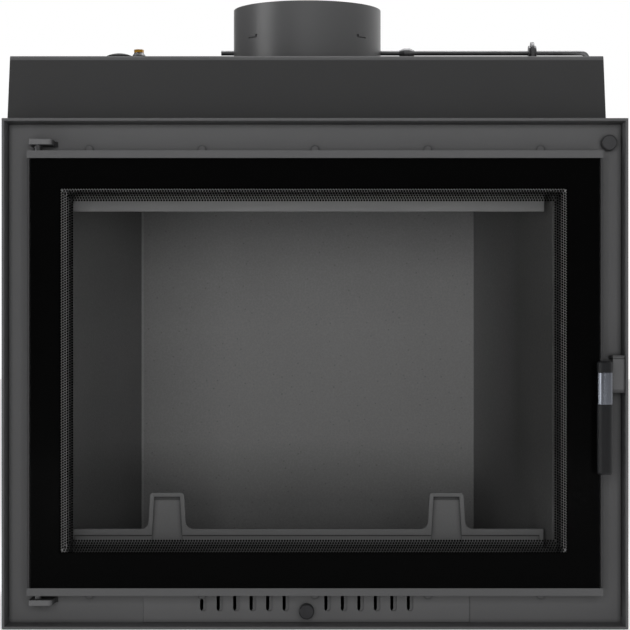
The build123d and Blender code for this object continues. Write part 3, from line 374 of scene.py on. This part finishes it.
def makeFireBoard(look):
    # pressed board: small flakes and pits between them; painted shade on the side boards, high up, low
    # down and beside the left corner, blended with patches of dust; a lighter strip where the left board
    # meets the rear one
    board = Finish("fireBoard")
    flakes = board.cells(look["flakeScale"])
    pits = board.cells(look["pitScale"]) < look["pitSize"]
    dust = board.noise(look["dustScale"], 5, 0.6)
    across, height = board.axis(0), board.axis(2)
    leftward = board.mapped(across, *look["leftFade"], 0.0, 1.0)
    rightward = board.mapped(across, *look["rightFade"], 0.0, 1.0)
    low = board.mapped(height, *look["lowFade"], 1.0, 0.0)
    high = board.mapped(height, *look["highFade"], 0.0, 1.0)
    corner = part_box("lining_left")[1].x  # where the left board meets the rear one
    # painted shadow beside the left corner, fading to the right
    cornerShadow = board.mapped(across, corner, corner + look["cornerFade"], look["cornerShade"], 0.0)
    # a lighter narrow strip along the corner where the boards meet
    cornerStrip = (across > corner) * (across < corner + look["cornerStrip"])
    tone = board.blend(leftward, look["tone"], look["left"])
    tone = board.blend(rightward, tone, look["right"])
    sootAndShade = look["lowShade"] * low + look["highShade"] * high + cornerShadow
    sootAndShade = sootAndShade + look["dustShare"] * (dust - look["dustMiddle"])
    tone = board.blend(sootAndShade, tone, look["sootAndShade"])
    amount = look["least"] + look["flakeTone"] * flakes - look["pitShade"] * pits
    amount = amount + look["cornerStripTone"] * cornerStrip
    return board.coat({
        "Base Color": board.shade(tone, amount),
        "Roughness": look["rough"] - look["flakeRough"] * flakes,
        "Specular IOR Level": look["gloss"],
        "Normal": board.bump(flakes - pits, look["relief"], look["depth"]),
    })


ironLook = {
    "tone": (0.106, 0.106, 0.107), "least": 0.90, "rough": 0.66, "gloss": 0.35, "crevice": 0.006,
    "sandScale": 520, "sandTone": 0.14, "sandRough": 0.20, "heatScale": 8, "heatTone": 0.12,
    "lumpScale": 60, "lumpRelief": 0.6, "relief": 0.45, "depth": 0.0006,
    # painted shade in the recessed fields and under the step
    "fieldDeep": 0.0015, "fieldTop": 0.0087, "fieldShade": 0.5,
    "stepDeep": 0.0006, "stepTop": 0.049, "stepFoot": 0.0503, "stepShade": 0.6}


def makeFenceIron(look):
    # a sand casting under heatproof paint, with painted shade in its recessed fields, under its step and
    # in its corners
    lowCorner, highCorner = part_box("log_fence")
    iron = Finish("fenceIron")
    depth, height = iron.axis(1), iron.axis(2)
    front, top = lowCorner.y, highCorner.z
    field = (depth > front + look["fieldDeep"]) * (height > top - look["fieldTop"])
    step = (height < top - look["stepTop"]) * (height > top - look["stepFoot"])
    step = step * (depth > front + look["stepDeep"]) * (depth < front + look["fieldDeep"])
    sand = iron.noise(look["sandScale"], 4, 0.65)
    lumps = iron.noise(look["lumpScale"], 3, 0.5)
    heat = iron.noise(look["heatScale"], 3, 0.5)
    skin = look["least"] + look["sandTone"] * sand + look["heatTone"] * heat
    paintedShade = 1 - look["fieldShade"] * field - look["stepShade"] * step
    return iron.coat({
        "Base Color": iron.shade(look["tone"], skin * iron.crevice(look["crevice"]) * paintedShade),
        "Roughness": look["rough"] + look["sandRough"] * (sand - 0.5),
        "Specular IOR Level": look["gloss"],
        "Normal": iron.bump(sand + look["lumpRelief"] * lumps, look["relief"], look["depth"]),
    })


finishes["fireBoard"] = makeFireBoard(boardLook)
finishes["fenceIron"] = makeFenceIron(ironLook)


millLook = {
    "least": 0.86, "lineTone": 0.20, "lineRough": 0.22,
    "spotScale": 70, "spotTone": 0.10, "spotRough": 0.14, "depth": 0.0002}


def brushedSteel(name, look):
    # fine lines from the mill or the lathe, running along the piece, and faint spots
    steel = Finish(name)
    lines = steel.noise(1, 4, 0.7, steel.stretched(look["lines"]))
    spots = steel.noise(millLook["spotScale"], 3, 0.55)
    tone = millLook["least"] + millLook["lineTone"] * lines + millLook["spotTone"] * spots
    rough = look["rough"] + millLook["lineRough"] * (lines - 0.5)
    rough = rough + millLook["spotRough"] * (spots - 0.5)
    return steel.coat({
        "Base Color": steel.shade(look["tone"], tone),
        "Metallic": 1.0,
        "Roughness": rough,
        "Normal": steel.bump(lines, look["relief"], millLook["depth"]),
    })


levelLines = (60, 1500, 1500)
uprightLines = (1500, 1500, 60)
steels = {
    "satinSteel": {"tone": (0.38, 0.39, 0.41), "rough": 0.36, "lines": levelLines, "relief": 0.18},
    "uprightSteel": {"tone": (0.30, 0.31, 0.33), "rough": 0.42, "lines": uprightLines, "relief": 0.18},
    "screwSteel": {"tone": (0.16, 0.16, 0.17), "rough": 0.40, "lines": (800, 800, 800), "relief": 0.16},
    "darkSteel": {"tone": (0.160, 0.160, 0.164), "rough": 0.44, "lines": levelLines, "relief": 0.16},
    "spindleSteel": {"tone": (0.240, 0.240, 0.246), "rough": 0.46, "lines": levelLines, "relief": 0.16},
    "ringSteel": {"tone": (0.17, 0.18, 0.205), "rough": 0.24, "lines": (2600, 2600, 20), "relief": 0.14},
    "brass": {"tone": (0.60, 0.31, 0.045), "rough": 0.26, "lines": (900, 900, 300), "relief": 0.14},
}
finishes.update({name: brushedSteel(name, look) for name, look in steels.items()})


handledLook = {"least": 0.88, "peelTone": 0.24, "rubs": (260, 260, 22), "rubRough": 0.20, "depth": 0.0003}


def mouldedBlack(name, look):
    # black parts that hands touch: an even skin with a low orange peel and faint rubbed marks
    skin = Finish(name)
    peel = skin.noise(look["peelScale"], 3, 0.5)
    rubs = skin.noise(1, 4, 0.6, skin.stretched(handledLook["rubs"]))
    return skin.coat({
        "Base Color": skin.shade(look["tone"], handledLook["least"] + handledLook["peelTone"] * peel),
        "Roughness": look["rough"] + handledLook["rubRough"] * (rubs - 0.5),
        "Specular IOR Level": look["gloss"],
        "Normal": skin.bump(peel, look["relief"], handledLook["depth"]),
    })


knobSkin = {"gloss": 0.4, "peelScale": 600, "relief": 0.16}
blacks = {
    "gripBlack": {
        "tone": (0.0050, 0.0053, 0.0062), "rough": 0.50, "gloss": 0.30, "peelScale": 700, "relief": 0.14},
    "airKnobBlack": {**knobSkin, "tone": (0.020, 0.020, 0.022), "rough": 0.42},
    "pullKnobBlack": {**knobSkin, "tone": (0.040, 0.040, 0.042), "rough": 0.46},
}
finishes.update({name: mouldedBlack(name, look) for name, look in blacks.items()})


printEdges = (-0.2849, 0.2821, 0.0854, 0.4927)  # left, right, low and high edge of the solid print
glassLook = {
    "tone": (0.90, 0.93, 0.92), "rough": 0.015, "hazeScale": 4, "hazeRough": 0.02,
    "grazing": 1.6, "clearTo": 0.36}
inkLook = {
    "tone": (0.0012, 0.0012, 0.0012), "least": 0.8, "rough": 0.10, "gloss": 0.02,
    "mottleScale": 900, "mottleTone": 0.4, "mottleRough": 0.04}


def makeGlass(look):
    # a clear pane: only its mirror image is drawn, where it is seen along its face
    glass = Finish("fireGlass")
    facing = glass.add("ShaderNodeLayerWeight", {}, {"Blend": 0.5}, "Facing")
    across, height = glass.axis(0), glass.axis(2)
    left, right, low, high = printEdges
    window = (across > left) * (across < right) * (height > low) * (height < high)
    grazing = glass.maths("MAXIMUM", facing - look["clearTo"], 0.0)
    haze = glass.clouds(look["hazeScale"])
    material = glass.coat({
        "Base Color": (*look["tone"], 1),
        "Metallic": 1.0,
        "Roughness": look["rough"] + look["hazeRough"] * haze,
        "Alpha": look["grazing"] * grazing ** 2 * window,
    })
    material.blend_method = "BLEND"
    return material


def makeInk(look):
    # a fired enamel, nearly black, with its own gloss
    ink = Finish("glassInk")
    mottle = ink.noise(look["mottleScale"], 2, 0.5)
    return ink.coat({
        "Base Color": ink.shade(look["tone"], look["least"] + look["mottleTone"] * mottle),
        "Roughness": look["rough"] + look["mottleRough"] * mottle,
        "Specular IOR Level": look["gloss"],
    })


finishes["fireGlass"] = makeGlass(glassLook)
finishes["glassInk"] = makeInk(inkLook)


yarnLook = {
    "sealRope": (0.105, 0.103, 0.100), "tapeFelt": (0.20, 0.20, 0.195), "least": 0.65,
    "threadScale": 2200, "threadTone": 0.5, "threadRough": 0.1, "strayScale": 550, "strayTone": 0.25,
    "rough": 0.92, "gloss": 0.15, "sheen": 0.25, "relief": 0.5, "depth": 0.0004}


def glassYarn(name, look):
    # glass-fibre yarn: dry, matt, with fine threads and a few stray lighter ones
    yarn = Finish(name)
    threads = yarn.grain(look["threadScale"])
    strays = yarn.noise(look["strayScale"], 2, 0.5)
    amount = look["least"] + look["threadTone"] * threads + look["strayTone"] * strays
    return yarn.coat({
        "Base Color": yarn.shade(look[name], amount),
        "Roughness": look["rough"] - look["threadRough"] * threads,
        "Specular IOR Level": look["gloss"],
        "Sheen Weight": look["sheen"],
        "Normal": yarn.bump(threads, look["relief"], look["depth"]),
    })


finishes["sealRope"] = glassYarn("sealRope", yarnLook)
finishes["tapeFelt"] = glassYarn("tapeFelt", yarnLook)
print("finishes made:", len(finishes))


slotFinish = {
    "frame_paint": "framePaint", "casing_paint": "casingPaint", "door_paint": "doorPaint",
    "firebox_steel": "fireboxPaint", "fire_board": "fireBoard", "fence_iron": "fenceIron",
    "bright_steel": "satinSteel", "screw_steel": "screwSteel", "ring_steel": "ringSteel",
    "grip_black": "gripBlack", "knob_black": "airKnobBlack", "brass": "brass", "glass": "fireGlass",
    "gasket_felt": "tapeFelt", "seal_rope": "sealRope",
}
ownFinish = {  # pieces whose finish differs from the rest of their slot
    "hood_front": "hoodPaint", "casing_top": "casingTopPaint", "flue_collar": "collarPaint",
    "air_wash_bar": "airBarPaint", "door_frame": "doorPlatePaint", "flange_panel": "litPanelPaint",
    "air_cover_plate": "litCoverPaint", "air_slider": "litSliderPaint", "panel_screws": "litPanelPaint",
    "latch_keeper": "keeperPaint", "pull_knob": "pullKnobBlack", "spindle_bracket": "darkSteel",
    "damper_spindle": "spindleSteel", "spindle_stop_collar": "spindleSteel",
    "spindle_washers": "darkSteel", "hinge_pins": "darkSteel", "handle_shaft": "uprightSteel",
    "port_boss": "darkSteel",
}


def dress(piece, finish):
    piece.data.materials.clear()
    piece.data.materials.append(finishes[finish])


for part in frame["record"]["subparts"]:
    name = part["node"]
    dress(nodes[name], ownFinish.get(name, slotFinish[part["material_slot"]]))
print("nodes dressed")


# sheet and casting edges are a little rounded, never sharp
edgeRounds = {
    0.0004: ["casing_left", "casing_right", "casing_back", "spindle_washers", "grip_ring"],
    0.0005: ["hinge_bracket_top", "hinge_bracket_bottom", "air_wash_bar", "spindle_bracket", "pull_knob",
             "air_knob", "port_plug", "latch_tongue", "shaft_nut"],
    0.0006: ["front_frame", "latch_keeper"],
    0.0008: ["hearth_slab", "lining_back", "lining_left", "lining_right", "baffle_plate"],
    0.0010: ["log_fence"],
}
roundingLook = {"weld": 0.00001, "segments": 2, "sharpFrom": 34, "weight": 60}


def roundEdges(piece, width, look):
    join = piece.modifiers.new("join", "WELD")
    join.merge_threshold = look["weld"]
    rounding = piece.modifiers.new("rounding", "BEVEL")
    rounding.width = width
    rounding.segments = look["segments"]
    rounding.limit_method = "ANGLE"
    rounding.angle_limit = radians(look["sharpFrom"])
    piece.modifiers.new("shading", "WEIGHTED_NORMAL").weight = look["weight"]


for width, names in edgeRounds.items():
    for name in names:
        roundEdges(nodes[name], width, roundingLook)
print("edges rounded")


def makePiece(name, mesh, body, finish):
    piece = bpy.data.objects.new(name, mesh)
    bpy.context.scene.collection.objects.link(piece)
    dress(piece, finish)
    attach(piece, body)
    return piece


def meshFrom(name, points, faces, smooth=True):
    mesh = bpy.data.meshes.new(name)
    mesh.from_pydata(points, [], faces)
    mesh.update()
    mesh.shade_smooth() if smooth else mesh.shade_flat()
    return mesh


def tubeFaces(rings, around):
    # a closed tube whose last ring joins its first
    return [
        (ring * around + turn, ring * around + (turn + 1) % around,
         (ring + 1) % rings * around + (turn + 1) % around, (ring + 1) % rings * around + turn)
        for ring in range(rings) for turn in range(around)]


# the black print on the glass, with its fading rows of dots
printLook = {
    "edge": 0.0002, "behindFront": 0.0039,
    "rowPitch": 0.00262, "alongLevel": 0.00307, "alongUpright": 0.00296,
    "dotRadii": (0.00130, 0.00128, 0.00126, 0.00125, 0.00124, 0.00123), "dotSides": 12,
}


def dotPlaces(look):
    # rows step inwards from the solid print and meet on a mitre at each corner
    left, right, low, high = printEdges
    for row in range(len(look["dotRadii"])):
        inset = row * look["rowPitch"]
        for level in (False, True):
            pitch = look["alongLevel"] if level else look["alongUpright"]
            start, end = (left, right) if level else (low, high)
            first = start + inset + 0.5 * pitch * (row % 2) + (0 if level else 0.5 * pitch)
            count = int((end - inset - first) / pitch) + 1
            for index in range(count):
                along = first + index * pitch
                if level:
                    yield row, along, high - inset
                    yield row, along, low + inset
                else:
                    yield row, left + inset, along
                    yield row, right - inset, along


def makeGlassPrint(look):
    lowCorner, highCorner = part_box("glass_pane")
    depth = lowCorner.y + look["behindFront"]
    outer = (
        lowCorner.x + look["edge"], highCorner.x - look["edge"],
        lowCorner.z + look["edge"], highCorner.z - look["edge"])
    points = []
    for left, right, low, high in (outer, printEdges):
        points += [(left, depth, low), (right, depth, low), (right, depth, high), (left, depth, high)]
    faces = [(side, (side + 1) % 4, (side + 1) % 4 + 4, side + 4) for side in range(4)]
    sides = look["dotSides"]
    turns = [(cos(tau * step / sides), sin(tau * step / sides)) for step in range(sides)]
    for row, x, z in dotPlaces(look):
        radius = look["dotRadii"][row]
        start = len(points)
        points += [(x + radius * across, depth, z + radius * up) for across, up in turns]
        faces.append(tuple(range(start, start + sides)))
    makePiece("glass_print", meshFrom("glassPrint", points, faces, False), "door", "glassInk")


makeGlassPrint(printLook)
print("glass print made")


# the knitted rope seal behind the door; depth is the grooves' share of the radius
ropeLook = {
    "corner": 0.013, "stitch": 0.0066, "ribs": 9, "step": 0.0011, "around": 36,
    "depth": 0.16, "lean": 1.3, "valley": 0.6, "straight": 0.45}


def roundedPath(left, right, low, high, corner, step):
    # points on a rectangle with round corners, and the outward direction at each
    arcs = [
        (right - corner, high - corner, 0.0), (left + corner, high - corner, 0.5 * pi),
        (left + corner, low + corner, pi), (right - corner, low + corner, 1.5 * pi)]
    path = []
    for index, (x, z, start) in enumerate(arcs):
        bends = ceil(corner * 0.5 * pi / step)
        for bend in range(bends):
            angle = start + 0.5 * pi * bend / bends
            path.append((x + corner * cos(angle), z + corner * sin(angle), angle))
        nextX, nextZ = arcs[(index + 1) % 4][:2]
        angle = start + 0.5 * pi
        begin = Vector((x + corner * cos(angle), z + corner * sin(angle)))
        finish = Vector((nextX + corner * cos(angle), nextZ + corner * sin(angle)))
        runs = ceil((finish - begin).length / step)
        for run in range(runs):
            spot = begin.lerp(finish, run / runs)
            path.append((spot.x, spot.y, angle))
    return path


def makeDoorRope(look):
    lowCorner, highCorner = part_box("door_rope")
    radius = (highCorner.y - lowCorner.y) / 2
    middleY = (highCorner.y + lowCorner.y) / 2
    path = roundedPath(
        lowCorner.x + radius, highCorner.x - radius, lowCorner.z + radius, highCorner.z - radius,
        look["corner"], look["step"])
    length = 0.0
    lengths = []
    for index, (x, z, angle) in enumerate(path):
        lengths.append(length)
        nextX, nextZ = path[(index + 1) % len(path)][:2]
        length += hypot(nextX - x, nextZ - z)
    stitches = round(length / look["stitch"])
    points = []
    for (x, z, angle), along in zip(path, lengths):
        beat = tau * stitches * along / length
        for turn in range(look["around"]):
            lap = tau * turn / look["around"]
            leg = look["ribs"] * lap
            # each rib is a column of V stitches: two legs that lean to meet in its middle
            lean = beat + look["lean"] * abs(((leg / tau) % 1.0) - 0.5) * tau
            loop = 0.5 + 0.5 * cos(lean)
            groove = abs(cos(0.5 * leg)) ** look["valley"]
            raised = groove * (look["straight"] + (1 - look["straight"]) * loop)
            height = 1 - look["depth"] * (1 - raised)
            reach = radius * height * cos(lap)
            points.append((
                x + reach * cos(angle), middleY + radius * height * sin(lap), z + reach * sin(angle)))
    mesh = meshFrom("knittedRope", points, tubeFaces(len(path), look["around"]))
    rope = makePiece("knitted_rope", mesh, "door", "sealRope")
    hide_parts("door_rope")


makeDoorRope(ropeLook)
print("rope made")


# the flat woven tape between the glass and the door frame
tapeLook = {
    "width": 0.024, "step": 0.0024, "across": 12, "ripple": 0.00016, "rounded": 0.0007, "thinned": 0.6}


def makeGlassTape(look):
    lowCorner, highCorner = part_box("glass_gasket")
    middle = (lowCorner.y + highCorner.y) / 2
    half = (highCorner.y - lowCorner.y) / 2
    corners = [
        (lowCorner.x, lowCorner.z), (highCorner.x, lowCorner.z),
        (highCorner.x, highCorner.z), (lowCorner.x, highCorner.z)]
    inward = [(1, 1), (-1, 1), (-1, -1), (1, -1)]
    across = look["across"]
    profile = [(index / across, -1) for index in range(across + 1)]
    profile += [(1 - index / across, 1) for index in range(across + 1)]
    points = []
    rings = 0
    for side in range(4):
        start, end = Vector(corners[side]), Vector(corners[(side + 1) % 4])
        startIn, endIn = Vector(inward[side]), Vector(inward[(side + 1) % 4])
        count = ceil((end - start).length / look["step"])
        for step in range(count):
            for offset, face in profile:
                inset = offset * look["width"]
                spot = (start + startIn * inset).lerp(end + endIn * inset, step / count)
                weave = cos(pi * step) * cos(pi * offset * across)  # over and under by turns
                edge = min(offset, 1 - offset) * look["width"]
                thin = look["thinned"] * max(0.0, look["rounded"] - edge)
                depth = middle + face * (half - thin - look["ripple"] * (0.5 + 0.5 * weave))
                points.append((spot.x, depth, spot.y))
        rings += count
    mesh = meshFrom("glassTape", points, tubeFaces(rings, len(profile)))
    tape = makePiece("glass_tape", mesh, "door", "tapeFelt")
    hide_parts("glass_gasket")


makeGlassTape(tapeLook)
print("glass tape made")


cameraLook = {
    "height": 0.303, "distance": 2.783, "lens": 131.43, "sensor": 36.0, "shiftUp": 0.0683,
    "near": 0.05, "far": 60}


def makeCamera(look):
    data = bpy.data.cameras.new("camera")
    data.lens = look["lens"]
    data.sensor_width = look["sensor"]
    data.shift_y = look["shiftUp"]
    data.clip_start = look["near"]
    data.clip_end = look["far"]
    camera = bpy.data.objects.new("camera", data)
    camera.location = (0, -look["distance"], look["height"])
    camera.rotation_euler = (radians(90), 0, 0)
    bpy.context.scene.collection.objects.link(camera)
    bpy.context.scene.camera = camera


floorLook = {
    "tone": (0.86, 0.86, 0.86), "half": 30.0, "drop": 0.0004, "lift": 0.33, "gloss": 0.2,
    "cloudScale": 1.5, "least": 0.98, "cloudTone": 0.04, "rough": 0.8, "cloudRough": 0.1}


def makeFloor(look):
    half = look["half"]
    corners = ((-half, -half), (half, -half), (half, half), (-half, half))
    points = [(x, y, -look["drop"]) for x, y in corners]
    surface = Finish("paleFloor")
    clouds = surface.noise(look["cloudScale"], 3, 0.5)
    material = surface.coat({
        "Base Color": surface.shade(look["tone"], look["least"] + look["cloudTone"] * clouds),
        "Roughness": look["rough"] + look["cloudRough"] * clouds,
        "Specular IOR Level": look["gloss"],
        "Emission Color": (1, 1, 1, 1),
        "Emission Strength": look["lift"],
    })
    floorPiece = bpy.data.objects.new("floor", meshFrom("floor", points, [(0, 1, 2, 3)], False))
    floorPiece.data.materials.append(material)
    bpy.context.scene.collection.objects.link(floorPiece)


skyLook = {  # each tuple: from and to along that axis, and the brightness at either end
    "backward": (-0.2, 0.85, 0.33, 1.0), "sideways": (-0.50, -0.18, 0.18, 1.0)}


def makeSky(look):
    # a white wall behind the object, a dimmer room in front of it and on its left
    world = bpy.data.worlds.new("studio")
    world.use_nodes = True
    room = NodeMaker(world.node_tree, "Generated")
    backward = room.mapped(room.axis(1), *look["backward"], "SMOOTHSTEP")
    sideways = room.mapped(room.axis(0), *look["sideways"])
    backdrop = room.add("ShaderNodeBackground", {}, {"Color": backward * sideways})
    room.add("ShaderNodeOutputWorld", {}, {"Surface": backdrop})
    bpy.context.scene.world = world


lamps = {
    "frontLamp": {
        "place": (0.0, -3.4, 0.36), "aim": (0.0, 0.0, 0.34),
        "size": (1.5, 1.5), "watts": 65, "mirrored": False},
    "topLamp": {
        "place": (0.0, 0.25, 1.45), "aim": (0.0, 0.05, 0.65),
        "size": (1.5, 0.5), "watts": 10, "mirrored": True},
    "leftLamp": {
        "place": (-3.1, -1.13, 0.7), "aim": (0.0, 0.0, 0.4),
        "size": (1.4, 2.0), "watts": 30, "mirrored": True},
}


def makeSoftBox(name, look):
    data = bpy.data.lights.new(name, "AREA")
    data.shape = "RECTANGLE"
    data.size, data.size_y = look["size"]
    data.energy = look["watts"]
    lamp = bpy.data.objects.new(name, data)
    lamp.location = look["place"]
    aim = Vector(look["aim"]) - Vector(look["place"])
    lamp.rotation_euler = aim.to_track_quat("-Z", "Y").to_euler()
    lamp.visible_camera = False
    lamp.visible_glossy = look["mirrored"]
    bpy.context.scene.collection.objects.link(lamp)


makeCamera(cameraLook)
makeFloor(floorLook)
makeSky(skyLook)
for name, look in lamps.items():
    makeSoftBox(name, look)
bpy.context.scene.view_settings.view_transform = "Standard"
print("stage set")
